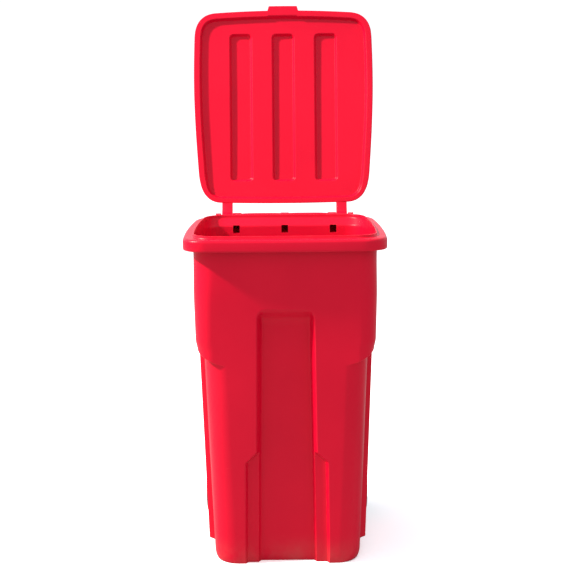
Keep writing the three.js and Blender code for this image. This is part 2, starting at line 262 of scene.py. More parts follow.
def stacked(name, rings):
    """A closed solid from rings of equal length, the first ring and the last one capped."""
    count = len(rings[0])
    faces = [list(range(count))[::-1]]
    for level in range(len(rings) - 1):
        a = level * count
        b = a + count
        faces += [[a + i, a + (i + 1) % count, b + (i + 1) % count, b + i] for i in range(count)]
    last = (len(rings) - 1) * count
    faces.append([last + i for i in range(count)])
    return new_piece(name, np.concatenate(rings), faces)


def levels(*stops):
    """Heights through the stops, each given with the number of steps up to the next one."""
    heights = []
    for (low, steps), (high, _) in zip(stops, stops[1:]):
        heights += list(np.linspace(low, high, steps, endpoint=False))
    return heights + [stops[-1][0]]


def quadratic(a, b, c, t):
    t = t[:, None]
    return np.array(a) * (1 - t) ** 2 + np.array(b) * 2 * t * (1 - t) + np.array(c) * t ** 2


# The rim's right half, from its front's middle round to its back's, as one curve after another
RIM_CURVES = (
    ((-0.222, -0.298), (0, -0.312), (0.222, -0.298)),
    ((0.222, -0.298), (0.283, -0.292), (0.289, -0.228)),
    ((0.289, -0.228), (0.298, -0.020), (0.283, 0.200)),
    ((0.283, 0.200), (0.279, 0.296), (0.214, 0.302)),
    ((0.214, 0.302), (0, 0.308), (-0.214, 0.302)))


def rim_half_outline(front_share, corner_share, flank_share, heel_share, back_share):
    """Right half of the rim's outline: bulged edges with full corners. Lid and rim share it."""
    shares = ((1 + front_share) / 2, corner_share, flank_share, heel_share, back_share / 2)
    half = np.concatenate([quadratic(*curve, share) for curve, share in zip(RIM_CURVES, shares)])
    half[:, 0] *= RIM_HALF / half[:, 0].max()
    return half


def shares_of(half):
    """How the columns of a tub outline are spread along its front, its flank and its back."""
    face = sum(STRETCHES[name] for name in ("floor", "wall", "ledge", "step", "face"))
    side_start = face + STRETCHES["corner"]
    side_end = side_start + sum(STRETCHES[name] for name in ("shoulder", "edge", "flank"))
    heel_end = side_end + STRETCHES["heel"]
    front = half[:face, 0] / half[face, 0]
    flank = (half[side_start:side_end, 1] - half[side_start, 1]) / (half[side_end, 1] - half[side_start, 1])
    back = 1 - half[heel_end:, 0] / half[heel_end, 0]
    return front, along("corner"), flank, along("heel"), back


def drawn_in(half, inset):
    return half * np.array([1 - inset / RIM_HALF, 1 - inset / RIM_REAR])


top_half = half_outline(SKIRT_BOTTOM)
rim_half = rim_half_outline(*shares_of(top_half))

wall_heights = levels((0, 3), (0.004, 3), (0.012, 4), (0.036, 10), (0.052, 14), (0.296, 16), (0.346, 12),
                      (0.572, 6), (0.594, 26), (0.646, 6), (0.668, 6), (0.724, 16), (0.762, 12),
                      (0.922, 10), (0.949, 1))
outer_rings = [whole_ring(wall_half(z), z) for z in wall_heights]
under_half = wall_half(0.951)
ridge_half = wall_half(RIDGE_TOP)
RIM_UNDERSIDE = FLANGE_TOP - 0.0045
for share, z in ((0.08, 0.9535), (0.25, 0.9549), (0.8, RIM_UNDERSIDE)):
    outer_rings.append(whole_ring(mix(under_half, drawn_in(rim_half, 0.0045), share), z))
# The skirt's section as (inset, height): down its inside, round its foot and up to the flat flange
RIM_SECTION = ((0.0052, RIM_UNDERSIDE - 0.0012), (0.0045, RIM_UNDERSIDE - 0.004), (0.0040, 0.9290),
               (0.0034, 0.9268), (0.0022, SKIRT_BOTTOM), (0.0010, 0.9266), (0.0003, 0.9285), (0, 0.9320),
               (0, 0.9510), (0.0003, 0.9534), (0.0013, 0.9560), (0.0030, 0.9582), (0.0055, 0.9596),
               (0.0085, FLANGE_TOP))
for inset, z in RIM_SECTION:
    outer_rings.append(whole_ring(drawn_in(rim_half, inset), z))


def pushed_out(half, distance):
    """An outline moved outwards along its own normals."""
    step = np.gradient(half, axis=0)
    step[0] = step[-1] = 0
    step[0, 0] = 1
    step[-1, 0] = -1
    normal = np.stack([step[:, 1], -step[:, 0]], 1) / np.linalg.norm(step, axis=1)[:, None]
    return half + normal * distance


# The ridge inside the flange, up its outer face
RIDGE_SECTION = ((0.0035, FLANGE_TOP), (0.0012, 0.9604), (0.0002, 0.9618), (-0.0002, 0.9652),
                 (-0.0007, 0.9672), (-0.0018, RIDGE_TOP))
flat_half = mix(drawn_in(rim_half, RIM_SECTION[-1][0]), pushed_out(ridge_half, RIDGE_SECTION[0][0]), 0.3)
outer_rings.append(whole_ring(flat_half, FLANGE_TOP))
for reach, z in RIDGE_SECTION:
    outer_rings.append(whole_ring(pushed_out(ridge_half, reach), z))
tub = stacked("tub_moulding", outer_rings)

# The hollow inside, one wall in from the outside, to be cut out of it
void_heights = levels((WALL, 2), (0.008, 3), (0.016, 3), (0.040, 10), (0.060, 12), (0.300, 12), (0.352, 10),
                      (0.580, 22), (0.674, 5), (0.730, 12), (0.768, 9), (0.928, 20), (0.9655, 1))
void_rings = [whole_ring(wall_half(z, WALL), z) for z in void_heights]
mouth_half = wall_half(0.9655, WALL)
for reach, z in ((0.0005, 0.9670), (0.0016, RIDGE_TOP), (0.0030, 0.9710)):
    void_rings.append(whole_ring(pushed_out(mouth_half, reach), z))
void = stacked("tub_void", void_rings)

# ---- Tub: handle, hinge lugs and axle seats --------------------------------------------------------
# The same moulding carries a round handle bar on three hollow gussets behind the rim. The outer two and
# the lugs beyond them take the lid pins. Four eyes below hold the axle, between two open wheel wells.
HINGE = Vector((0, 0.350, 0.953))
HINGE_YZ = (HINGE.y, HINGE.z)
GUSSET_X = 0.154
GUSSET_HALF = 0.014
SLOT_HALF = 0.0105
LUG_X = (0.206, 0.218)
STOP_X = (0.150, 0.212)
PIN_BORE_X = (0.148, 0.230)
PIN_BORE = 0.008
BAR_HALF = 0.142
BAR_END = 0.156
BAR_RADIUS = 0.0108
BAR_SWELL = 0.0017
AXLE = Vector((0, 0.238, 0.100))
AXLE_YZ = (AXLE.y, AXLE.z)
AXLE_BORE = 0.0113
EYE_RADIUS = 0.0195
WELL_X = 0.203
WELL_RADIUS = 0.110
WELL_OUTSIDE = 0.34
WELL_BEHIND = 0.45
WELL_BELOW = -0.02


def finished(piece):
    """The piece with its modifiers made real."""
    bpy.context.view_layer.update()
    mesh = bpy.data.meshes.new_from_object(piece.evaluated_get(bpy.context.evaluated_depsgraph_get()))
    piece.modifiers.clear()
    spare = piece.data
    piece.data = mesh
    bpy.data.meshes.remove(spare)
    return piece


def carve(piece, tool, operation="DIFFERENCE"):
    """Cuts a closed tool out of a closed piece, or joins it on, and uses the tool up."""
    modifier = piece.modifiers.new("carve", "BOOLEAN")
    modifier.operation = operation
    modifier.solver = "MANIFOLD"
    modifier.object = tool
    finished(piece)
    bpy.data.objects.remove(tool)
    return piece


def rounded(piece, width, segments=3, angle=30):
    bevel = piece.modifiers.new("round", "BEVEL")
    bevel.width = width
    bevel.segments = segments
    bevel.limit_method = "ANGLE"
    bevel.angle_limit = math.radians(angle)
    bevel.use_clamp_overlap = True
    return finished(piece)


def side_plate(name, points, x0, x1, radius=0.0):
    """A plate whose outline is given as (y, z) points, between x0 and x1, with rounded edges."""
    count = len(points)
    corners = [(x, y, z) for x in (x0, x1) for y, z in points]
    faces = [list(range(count))[::-1], list(range(count, 2 * count))]
    faces += [[i, (i + 1) % count, count + (i + 1) % count, count + i] for i in range(count)]
    piece = new_piece(name, corners, faces)
    edit = bmesh.new()
    edit.from_mesh(piece.data)
    bmesh.ops.recalc_face_normals(edit, faces=edit.faces)
    edit.to_mesh(piece.data)
    edit.free()
    return rounded(piece, radius) if radius else piece


def turned(name, profile, centre, steps=72):
    """A piece turned about a line along X through centre, from (x, radius) points, end to end or closed."""
    on_axis = profile[0][1] == 0
    rings = []
    for i in range(steps):
        angle = 2 * math.pi * i / steps
        rings.append([(x, centre[1] + r * math.cos(angle), centre[2] + r * math.sin(angle))
                      for x, r in profile])
    count = len(profile)
    faces = []
    for i in range(steps):
        a = i * count
        b = (i + 1) % steps * count
        spans = range(count - 1) if on_axis else range(count)
        faces += [[a + k, a + (k + 1) % count, b + (k + 1) % count, b + k] for k in spans]
    piece = new_piece(name, np.concatenate(rings), faces)
    edit = bmesh.new()
    edit.from_mesh(piece.data)
    bmesh.ops.remove_doubles(edit, verts=edit.verts, dist=1e-7)
    bmesh.ops.dissolve_degenerate(edit, edges=edit.edges, dist=1e-7)
    bmesh.ops.recalc_face_normals(edit, faces=edit.faces)
    edit.to_mesh(piece.data)
    edit.free()
    return piece


def arc(centre, radius, start, end, steps):
    """Points round an arc, in degrees."""
    angles = [math.radians(start + (end - start) * i / steps) for i in range(steps + 1)]
    return [(centre[0] + radius * math.cos(a), centre[1] + radius * math.sin(a)) for a in angles]


def both_plates(name, outline, near, far, radius=0.0):
    """The same plate on the right and on the left, between two distances from the middle."""
    return [side_plate(name, outline, near, far, radius), side_plate(name, outline, -far, -near, radius)]


def rod_profile(x0, x1, radius):
    return [(x0, 0), (x0, radius), (x1, radius), (x1, 0)]


def well_tools(grow=0.0):
    radius = WELL_RADIUS + grow
    arch = arc(AXLE_YZ, radius, 90, 180, 40)
    outline = [(WELL_BEHIND, AXLE.z + radius)] + arch
    outline += [(AXLE.y - radius, WELL_BELOW), (WELL_BEHIND, WELL_BELOW)]
    return both_plates("well", outline, WELL_X - grow, WELL_OUTSIDE)


gusset_outline = ([(0.250, 0.9460), (0.312, 0.9530)] + arc(HINGE_YZ, 0.0135, 112, -62, 20)
                  + [(0.256, 0.792), (0.240, 0.790)])
lug_outline = [(0.297, 0.9505)] + arc(HINGE_YZ, 0.0125, 100, -110, 24) + [(0.322, 0.926), (0.297, 0.928)]
stop_outline = [(0.299, 0.928), (0.339, 0.928), (0.339, 0.934), (0.299, 0.934)]
for x in (-GUSSET_X, 0, GUSSET_X):
    carve(tub, side_plate("gusset", gusset_outline, x - GUSSET_HALF, x + GUSSET_HALF, 0.002), "UNION")
for tool in both_plates("lug", lug_outline, *LUG_X, 0.002):
    carve(tub, tool, "UNION")
for tool in both_plates("stop", stop_outline, *STOP_X):
    carve(tub, tool, "UNION")

grip_profile = [(-BAR_END, 0), (-BAR_END, 0.0105)]
for x in np.linspace(-BAR_HALF, BAR_HALF, 65):
    swell = 1 - abs(2 * abs(x) / BAR_HALF - 1) ** 4
    grip_profile.append((float(x), BAR_RADIUS + BAR_SWELL * swell))
grip_profile += [(BAR_END, 0.0105), (BAR_END, 0)]
carve(tub, turned("grip", grip_profile, HINGE, 48), "UNION")

bracket_outline = ([(0.195, 0.066), (0.228, 0.066)] + arc(AXLE_YZ, EYE_RADIUS, -60, 70, 14)
                   + [(0.228, 0.140), (0.195, 0.150)])
for near, far in ((0.060, 0.076), (0.185, WELL_X)):
    for tool in both_plates("bracket", bracket_outline, near, far, 0.0015):
        carve(tub, tool, "UNION")
for tool in well_tools():
    carve(tub, tool)
for tool in well_tools(WALL):
    carve(void, tool)
carve(tub, void)

slot_outline = [(0.225, 0.9365), (0.318, 0.9365), (0.331, 0.932), (0.300, 0.912), (0.225, 0.911)]
for x in (-GUSSET_X, 0, GUSSET_X):
    carve(tub, side_plate("slot", slot_outline, x - SLOT_HALF, x + SLOT_HALF))
for side in (1, -1):
    bore = rod_profile(side * PIN_BORE_X[0], side * PIN_BORE_X[1], PIN_BORE)
    carve(tub, turned("pin_bore", bore, HINGE, 40))
carve(tub, turned("axle_bore", rod_profile(-0.21, 0.21, AXLE_BORE), AXLE, 48))


def smooth(piece, angle=34):
    """Smooth shading, broken at edges sharper than the angle."""
    for polygon in piece.data.polygons:
        polygon.use_smooth = True
    piece.data.set_sharp_from_angle(angle=math.radians(angle))
    return piece


# ---- Tub: the red finish ---------------------------------------------------------------------------
# The polyethylene is coloured right through, with a fine moulded grain. It has grown a little uneven and
# dusty near the ground; a painted highlight pales its edges. The other finishes use the same three effects.
def add_node(tree, kind, settings=(), **sockets):
    """A node with its own settings. Its inputs, by name or as i0, i1 and so on, take values or links."""
    node = tree.nodes.new(kind)
    for key, value in dict(settings).items():
        setattr(node, key, value)
    for key, value in sockets.items():
        numbered = key[0] == "i" and key[1:].isdigit()
        socket = node.inputs[int(key[1:]) if numbered else key.replace("_", " ")]
        if isinstance(value, bpy.types.NodeSocket):
            tree.links.new(value, socket)
        else:
            socket.default_value = value
    return node


def new_group(name, inputs, outputs):
    """An empty node group with its named sockets; the inputs carry their usual values."""
    group = bpy.data.node_groups.new(name, "ShaderNodeTree")
    for label, kind, value in inputs:
        socket = group.interface.new_socket(label, in_out="INPUT", socket_type=kind)
        if value is not None:
            socket.default_value = value
    for label, kind in outputs:
        group.interface.new_socket(label, in_out="OUTPUT", socket_type=kind)
    return group, group.nodes.new("NodeGroupInput").outputs, group.nodes.new("NodeGroupOutput").inputs


def new_material(name):
    material = bpy.data.materials.new(name)
    material.use_nodes = True
    tree = material.node_tree
    return material, tree, tree.nodes["Principled BSDF"]


FLOAT = "NodeSocketFloat"


def grain_group():
    """Fine moulded grain over a slow ripple: a height for bump, and a value that drifts slowly."""
    group, given, out = new_group("moulded_grain", (
        ("Grain Scale", FLOAT, 900.0), ("Grain Height", FLOAT, 0.3), ("Ripple Scale", FLOAT, 7.0)),
        (("Height", FLOAT), ("Drift", FLOAT)))
    place = add_node(group, "ShaderNodeTexCoord").outputs["Object"]
    fine = add_node(group, "ShaderNodeTexNoise", Vector=place, Scale=given["Grain Scale"], Detail=2.0)
    ripple = add_node(group, "ShaderNodeTexNoise", Vector=place, Scale=given["Ripple Scale"], Detail=3.0)
    scaled = add_node(group, "ShaderNodeMath", {"operation": "MULTIPLY"}, i0=fine.outputs["Fac"],
                      i1=given["Grain Height"])
    total = add_node(group, "ShaderNodeMath", {"operation": "ADD"}, i0=scaled.outputs[0],
                     i1=ripple.outputs["Fac"])
    group.links.new(total.outputs[0], out["Height"])
    group.links.new(ripple.outputs["Fac"], out["Drift"])
    return group


def wear_and_highlight_group():
    """A mask of edges broken up by noise, where the rounded normal turns from the face's own: a painted
    highlight on the red, rubbed wear on the zinc.
    """
    group, given, out = new_group("edge_wear_and_highlight", (
        ("Radius", FLOAT, 0.003), ("Amount", FLOAT, 1.0), ("Break Up", FLOAT, 60.0)), (("Mask", FLOAT),))
    place = add_node(group, "ShaderNodeTexCoord").outputs["Object"]
    soft = add_node(group, "ShaderNodeBevel", {"samples": 4}, Radius=given["Radius"])
    plain = add_node(group, "ShaderNodeNewGeometry")
    turn = add_node(group, "ShaderNodeVectorMath", {"operation": "DOT_PRODUCT"}, i0=soft.outputs["Normal"],
                    i1=plain.outputs["Normal"])
    edge = add_node(group, "ShaderNodeMapRange", Value=turn.outputs["Value"], From_Min=0.995,
                    From_Max=0.88)
    noise = add_node(group, "ShaderNodeTexNoise", Vector=place, Scale=given["Break Up"], Detail=5.0)
    patches = add_node(group, "ShaderNodeMapRange", Value=noise.outputs["Fac"], From_Min=0.42,
                       From_Max=0.68)
    broken = add_node(group, "ShaderNodeMath", {"operation": "MULTIPLY"}, i0=edge.outputs[0],
                      i1=patches.outputs[0])
    scaled = add_node(group, "ShaderNodeMath", {"operation": "MULTIPLY", "use_clamp": True},
                      i0=broken.outputs[0], i1=given["Amount"])
    group.links.new(scaled.outputs[0], out["Mask"])
    return group


def dust_group():
    """A mask of road dust that thins out upwards from the ground, and of fine scuffs."""
    group, given, out = new_group("ground_dust", (
        ("Top", FLOAT, 0.25), ("Amount", FLOAT, 0.5), ("Scuff Scale", FLOAT, 24.0)),
        (("Dust", FLOAT), ("Scuff", FLOAT)))
    place = add_node(group, "ShaderNodeTexCoord").outputs["Object"]
    parts = add_node(group, "ShaderNodeSeparateXYZ", i0=place)
    low = add_node(group, "ShaderNodeMapRange", {"interpolation_type": "SMOOTHSTEP"},
                   Value=parts.outputs["Z"], From_Min=given["Top"], From_Max=0.0)
    cloud = add_node(group, "ShaderNodeTexNoise", Vector=place, Scale=9.0, Detail=6.0, Roughness=0.65)
    patches = add_node(group, "ShaderNodeMapRange", Value=cloud.outputs["Fac"], From_Min=0.35,
                       From_Max=0.72)
    dusty = add_node(group, "ShaderNodeMath", {"operation": "MULTIPLY"}, i0=low.outputs[0],
                     i1=patches.outputs[0])
    dust = add_node(group, "ShaderNodeMath", {"operation": "MULTIPLY"}, i0=dusty.outputs[0],
                    i1=given["Amount"])
    group.links.new(dust.outputs[0], out["Dust"])
    stretch = add_node(group, "ShaderNodeVectorMath", {"operation": "MULTIPLY"}, i0=place,
                       i1=(1.0, 1.0, 9.0))
    marks = add_node(group, "ShaderNodeTexNoise", Vector=stretch.outputs[0], Scale=given["Scuff Scale"],
                     Detail=8.0, Roughness=0.7)
    thin = add_node(group, "ShaderNodeMapRange", Value=marks.outputs["Fac"], From_Min=0.63, From_Max=0.76)
    group.links.new(thin.outputs[0], out["Scuff"])
    return group


GRAIN = grain_group()
WEAR_AND_HIGHLIGHT = wear_and_highlight_group()
DUST = dust_group()
DUST_COLOUR = (0.30, 0.23, 0.17, 1)
SCUFF_SHOWING = 0.22


def use_group(tree, group, **values):
    node = add_node(tree, "ShaderNodeGroup", {"node_tree": group}, **values)
    return node.outputs


def tinted(tree, share, under, over):
    """One colour laid over another by a mask."""
    node = add_node(tree, "ShaderNodeMix", {"data_type": "RGBA"}, i0=share, i6=under, i7=over)
    return node.outputs[2]


def weighed(tree, value, amount):
    return add_node(tree, "ShaderNodeMath", {"operation": "MULTIPLY"}, i0=value, i1=amount).outputs[0]


def grained_material(name, deep, light, worn_and_highlight, rough, grain, wear_and_highlight, dust, bump):
    """A moulded finish: two close colours that drift, paler edges (a painted highlight on the red), scuffs,
    dust and grain.
    """
    material, tree, shader = new_material(name)
    surface = use_group(tree, GRAIN, Grain_Scale=grain[0], Grain_Height=grain[1], Ripple_Scale=grain[2])
    edges = use_group(tree, WEAR_AND_HIGHLIGHT, Radius=wear_and_highlight[0], Amount=wear_and_highlight[1], Break_Up=wear_and_highlight[2])
    soil = use_group(tree, DUST, Top=dust[0], Amount=dust[1], Scuff_Scale=dust[2])
    drift = add_node(tree, "ShaderNodeMapRange", Value=surface["Drift"], From_Min=0.3, From_Max=0.7)
    colour = tinted(tree, drift.outputs[0], deep, light)
    colour = tinted(tree, weighed(tree, soil["Scuff"], SCUFF_SHOWING), colour, worn_and_highlight)
    # The edge mask lays the paler colour along the edges; on the red this is a painted highlight.
    colour = tinted(tree, edges["Mask"], colour, worn_and_highlight)
    colour = tinted(tree, soil["Dust"], colour, DUST_COLOUR)
    tree.links.new(colour, shader.inputs["Base Color"])
    # Scuffs and dust are duller than the plastic
    spread = add_node(tree, "ShaderNodeMapRange", Value=surface["Drift"], From_Min=0.3, From_Max=0.7,
                      To_Min=rough - 0.05, To_Max=rough + 0.05)
    scuffed = add_node(tree, "ShaderNodeMath", {"operation": "MULTIPLY_ADD"}, i0=soil["Scuff"], i1=0.12,
                       i2=spread.outputs[0])
    dusty = add_node(tree, "ShaderNodeMath", {"operation": "MULTIPLY_ADD", "use_clamp": True},
                     i0=soil["Dust"], i1=0.5, i2=scuffed.outputs[0])
    tree.links.new(dusty.outputs[0], shader.inputs["Roughness"])
    relief = add_node(tree, "ShaderNodeBump", Height=surface["Height"], Strength=bump[0], Distance=bump[1])
    tree.links.new(relief.outputs["Normal"], shader.inputs["Normal"])
    return material, shader


# The paler orange red below is laid along the rounded edges as a painted highlight, and it also marks the
# scuffs.
red, shader = grained_material(
    "red_polyethylene", deep=(0.60, 0.0012, 0.022, 1), light=(0.67, 0.0022, 0.025, 1),
    worn_and_highlight=(0.82, 0.060, 0.065, 1), rough=0.34, grain=(1100.0, 0.30, 3.5), wear_and_highlight=(0.0025, 0.6, 45.0),
    dust=(0.09, 0.20, 26.0), bump=(0.30, 0.0016))
shader.inputs["Specular IOR Level"].default_value = 0.17


def dress(piece, material, body, slot, *nodes):
    """Gives a finished piece its material and its body, and hides the CAD nodes it stands for. The slot is
    not used.
    """
    piece.data.materials.clear()
    piece.data.materials.append(material)
    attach(piece, body)
    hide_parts(*nodes)


# ---- Tub: ribs under the rim -----------------------------------------------------------------------
# Thin upright ribs stiffen the rim's flange from below, hidden by its skirt. They are moulded with the tub,
# all of one size and at one pitch, along the front and both flanks.
RIM_RIB_SIZE = (0.0028, 0.0255, 0.022)
RIM_RIB_PITCH = 0.058
RIM_RIB_END = 0.20


def nodes_tree(name, *inputs):
    """A Geometry Nodes tree with named inputs."""
    tree = bpy.data.node_groups.new(name, "GeometryNodeTree")
    tree.interface.new_socket("Geometry", in_out="INPUT", socket_type="NodeSocketGeometry")
    for label, kind in inputs:
        tree.interface.new_socket(label, in_out="INPUT", socket_type=kind)
    tree.interface.new_socket("Geometry", in_out="OUTPUT", socket_type="NodeSocketGeometry")
    return tree, tree.nodes.new("NodeGroupInput").outputs, tree.nodes.new("NodeGroupOutput").inputs


def grown(base, tree, **values):
    """The mesh that a tree makes from a base piece, its inputs set by identifier first."""
    modifier = base.modifiers.new("grown", "NODES")
    labels = {item.name: item.identifier for item in tree.interface.items_tree if item.in_out == "INPUT"}
    modifier.node_group = tree
    for label, value in values.items():
        modifier[labels[label.replace("_", " ")]] = value
    return finished(base)


def rim_rib_tree():
    """Thin upright ribs set square across a path, at one pitch."""
    tree, given, out = nodes_tree("rim_ribs", ("Pitch", FLOAT), ("Size", "NodeSocketVector"),
                                  ("Material", "NodeSocketMaterial"))
    path = add_node(tree, "GeometryNodeMeshToCurve", Mesh=given["Geometry"])
    spaced = add_node(tree, "GeometryNodeResampleCurve", {"mode": "LENGTH"}, Curve=path.outputs[0],
                      Length=given["Pitch"])
    plate = add_node(tree, "GeometryNodeMeshCube", Size=given["Size"])
    tangent = add_node(tree, "GeometryNodeInputTangent")
    turn = add_node(tree, "FunctionNodeAlignRotationToVector", {"axis": "X"}, Vector=tangent.outputs[0])
    copies = add_node(tree, "GeometryNodeInstanceOnPoints", Points=spaced.outputs[0],
                      Instance=plate.outputs[0], Rotation=turn.outputs[0])
    real = add_node(tree, "GeometryNodeRealizeInstances", Geometry=copies.outputs[0])
    painted = add_node(tree, "GeometryNodeSetMaterial", Geometry=real.outputs[0],
                       Material=given["Material"])
    tree.links.new(painted.outputs[0], out["Geometry"])
    return tree


path_half = drawn_in(rim_half, 0.0042 + RIM_RIB_SIZE[1] / 2)
path_half = path_half[path_half[:, 1] < RIM_RIB_END]
path = np.concatenate([path_half[:0:-1] * np.array([-1, 1]), path_half])
path = np.column_stack([path, np.full(len(path), RIM_UNDERSIDE + 0.002 - RIM_RIB_SIZE[2] / 2)])
path_edges = [(i, i + 1) for i in range(len(path) - 1)]
rim_ribs = grown(new_piece("rim_ribs", path, [], path_edges), rim_rib_tree(), Pitch=RIM_RIB_PITCH,
                 Size=RIM_RIB_SIZE, Material=red)
carve(tub, rim_ribs, "UNION")
smooth(tub)
dress(tub, red, "tub", "red_plastic", "tub")

# ---- Lid -------------------------------------------------------------------------------------------
# One thin moulding: a flat lip that sits on the rim, a crowned panel with three long ribs that are hollow
# from below, and a grip tab at the front. Each face is a sheet of rings round the edge with a grid of points
# in the middle. It is drawn shut, then thrown open.
LID_FRONT = -0.324
LID_REAR = 0.306
LID_TAPER = 0.0145
LID_SEAT = FLANGE_TOP + 0.0003
LID_SKIN = 0.0036
LIP = 0.0195
LIP_WALL = 0.0060
REAR_LIP_CUT = 0.0040
LIP_RISE = 0.0125
CROWN = 0.0075
CROWN_HALF = 0.262
CROWN_REACH = 0.282
CROWN_SQUARE = 2.4
RIB_PITCH = 0.1385
RIB_HALF = 0.0345
RIB_END = 0.239
RIB_DEPTH = 0.0105
RIB_WALL = 0.0058
RIB_CORNER = 0.012
TAB_HALF = 0.0485
TAB_REACH = 0.0155
TAB_EDGE = 0.0032
LID_OPEN = math.radians(100)
LID_MIDDLE = (LID_FRONT + LID_REAR) / 2
PATCH_X = 0.190
PATCH_Y = 0.250


def mirrored_stops(*stops):
    """Places on both sides of nought, given for the right side only."""
    right = levels(*stops)
    return np.array([-x for x in right[:0:-1]] + right)


patch_x = mirrored_stops((0, 5), (0.028, 9), (0.0400, 5), (0.0550, 6), (0.0975, 9), (0.1100, 9),
                         (0.1665, 9), (0.1790, 2), (PATCH_X, 1))
patch_y = LID_MIDDLE + mirrored_stops((0, 16), (0.212, 6), (0.228, 12), (0.2435, 2), (PATCH_Y, 1))
LIP_INSETS = (0, 0.0004, 0.0014, 0.0030, 0.0070, 0.0115, 0.0145, 0.0160, 0.0175, 0.0190, 0.0205, 0.0220,
              0.0235, 0.0250, 0.0265, 0.0285, 0.0320, 0.0380)
IN_TO_PATCH = (0.15, 0.4, 0.7)


def lid_half_outline():
    """Right half of the lid's outline: the rim's, drawn in a little towards the back."""
    share = np.linspace(0, 1, 400, endpoint=False)
    half = rim_half_outline(share, share, share, share, np.append(share, 1))
    half[:, 0] *= 1 - LID_TAPER * ramp((half[:, 1] + 0.05) / 0.25)
    half[:, 1] = LID_FRONT + (half[:, 1] - RIM_FRONT) / (RIM_REAR - RIM_FRONT) * (LID_REAR - LID_FRONT)
    return half


def resampled(line, shares):
    """Points at the given shares of a line's length."""
    run = np.concatenate([[0], np.cumsum(np.linalg.norm(np.diff(line, axis=0), axis=1))])
    return np.stack([np.interp(np.asarray(shares) * run[-1], run, line[:, k]) for k in (0, 1)], 1)


def lid_border():
    """Outline points, one for each border point of the middle patch, with their inward directions."""
    half = lid_half_outline()
    whole = np.concatenate([half, half[-2:0:-1] * np.array([-1, 1])])
    corners = [int(np.argmax((sx * whole[:, 0] / RIM_HALF) + sy * (whole[:, 1] - LID_MIDDLE) / 0.309))
               for sx, sy in ((1, -1), (1, 1), (-1, 1), (-1, -1))]
    doubled = np.concatenate([whole, whole])
    size = len(whole)
    x_share = (patch_x[:-1] + PATCH_X) / (2 * PATCH_X)
    y_share = (patch_y[:-1] - LID_MIDDLE + PATCH_Y) / (2 * PATCH_Y)
    border = []
    for start, end, share in ((corners[3], corners[0] + size, x_share), (corners[0], corners[1], y_share),
                              (corners[1], corners[2], x_share), (corners[2], corners[3], y_share)):
        border.append(resampled(doubled[start:end + 1], share))
    points = np.concatenate(border)
    step = np.roll(points, -1, 0) - np.roll(points, 1, 0)
    inward = np.stack([-step[:, 1], step[:, 0]], 1) / np.linalg.norm(step, axis=1)[:, None]
    return points, inward


def patch_border():
    """The middle patch's own border, anticlockwise from its front left corner."""
    low, high = patch_y[0], patch_y[-1]
    front = [(x, low) for x in patch_x[:-1]]
    right = [(PATCH_X, y) for y in patch_y[:-1]]
    back = [(-x, high) for x in patch_x[:-1]]
    left = [(-PATCH_X, 2 * LID_MIDDLE - y) for y in patch_y[:-1]]
    return np.array(front + right + back + left)


def rib_height(x, y, grow):
    """Nought outside the three long ribs and one on their flat tops."""
    height = np.zeros_like(x)
    radius = RIB_CORNER + grow
    past_end = np.abs(y - LID_MIDDLE) - (RIB_END - RIB_CORNER)
    for centre in (-RIB_PITCH, 0, RIB_PITCH):
        past_side = np.abs(x - centre) - (RIB_HALF - RIB_CORNER)
        beyond = np.hypot(np.maximum(past_side, 0), np.maximum(past_end, 0))
        inside = radius + 0.002 - beyond - np.minimum(np.maximum(past_side, past_end), 0)
        height = np.maximum(height, ramp(inside / RIB_WALL, 0.3))
    return height


def lid_height(x, y, inset, grow):
    """Height of the lid's underside over its seat, or of its outside where grow is the skin's thickness."""
    lip = ramp((inset - LIP + grow) / LIP_WALL, 0.3)
    to_side = np.clip(np.abs(x) / CROWN_HALF, 0, 1) ** CROWN_SQUARE
    to_end = np.clip(np.abs(y - LID_MIDDLE) / CROWN_REACH, 0, 1) ** CROWN_SQUARE
    bow = (1 - to_side) * (1 - to_end)
    return lip * LIP_RISE + bow * CROWN + rib_height(x, y, grow) * RIB_DEPTH


def lid_sheet(grow):
    """The points of one face of the lid: rings in from the outline, then the middle patch row by row."""
    outline, inward = lid_border()
    inner = patch_border()
    at_back = ramp((outline[:, 1:] - 0.235) / 0.045) * REAR_LIP_CUT
    rings = []
    insets = []
    for inset in LIP_INSETS:
        rings.append(outline + inward * (inset - at_back * min(1, inset / LIP)))
        insets.append(inset)
    for share in IN_TO_PATCH:
        rings.append(mix(rings[len(LIP_INSETS) - 1], inner, share))
        insets.append(LIP_INSETS[-1] + 0.01)
    points = []
    for ring, inset in zip(rings, insets):
        height = lid_height(ring[:, 0], ring[:, 1], inset, grow)
        tab = ramp((TAB_HALF + 0.001 - np.abs(ring[:, 0])) / TAB_EDGE, 0.35) * (ring[:, 1] < -0.2)
        shift = tab * TAB_REACH * (1 - ramp((inset - 0.001) / 0.022, 0.3))
        points.append(np.column_stack([ring[:, 0], ring[:, 1] - shift, height]))
    grid_x, grid_y = np.meshgrid(patch_x, patch_y)
    height = lid_height(grid_x, grid_y, LIP_INSETS[-1] + 0.01, grow)
    points.append(np.stack([grid_x, grid_y, height], -1).reshape(-1, 3))
    return points


def sheet_faces(start, count, ring_total):
    """Faces of one sheet, seen from above, for rings of count points and then the patch."""
    faces = []
    for level in range(ring_total - 1):
        a = start + level * count
        b = a + count
        faces += [[a + i, a + (i + 1) % count, b + (i + 1) % count, b + i] for i in range(count)]
    columns, rows = len(patch_x), len(patch_y)
    base = start + ring_total * count

    def at(column, row):
        return base + row * columns + column

    edge = [at(c, 0) for c in range(columns - 1)]
    edge += [at(columns - 1, r) for r in range(rows - 1)]
    edge += [at(c, rows - 1) for c in range(columns - 1, 0, -1)]
    edge += [at(0, r) for r in range(rows - 1, 0, -1)]
    a = start + (ring_total - 1) * count
    faces += [[a + i, a + (i + 1) % count, edge[(i + 1) % count], edge[i]] for i in range(count)]
    faces += [[at(c, r), at(c + 1, r), at(c + 1, r + 1), at(c, r + 1)]
              for r in range(rows - 1) for c in range(columns - 1)]
    return faces


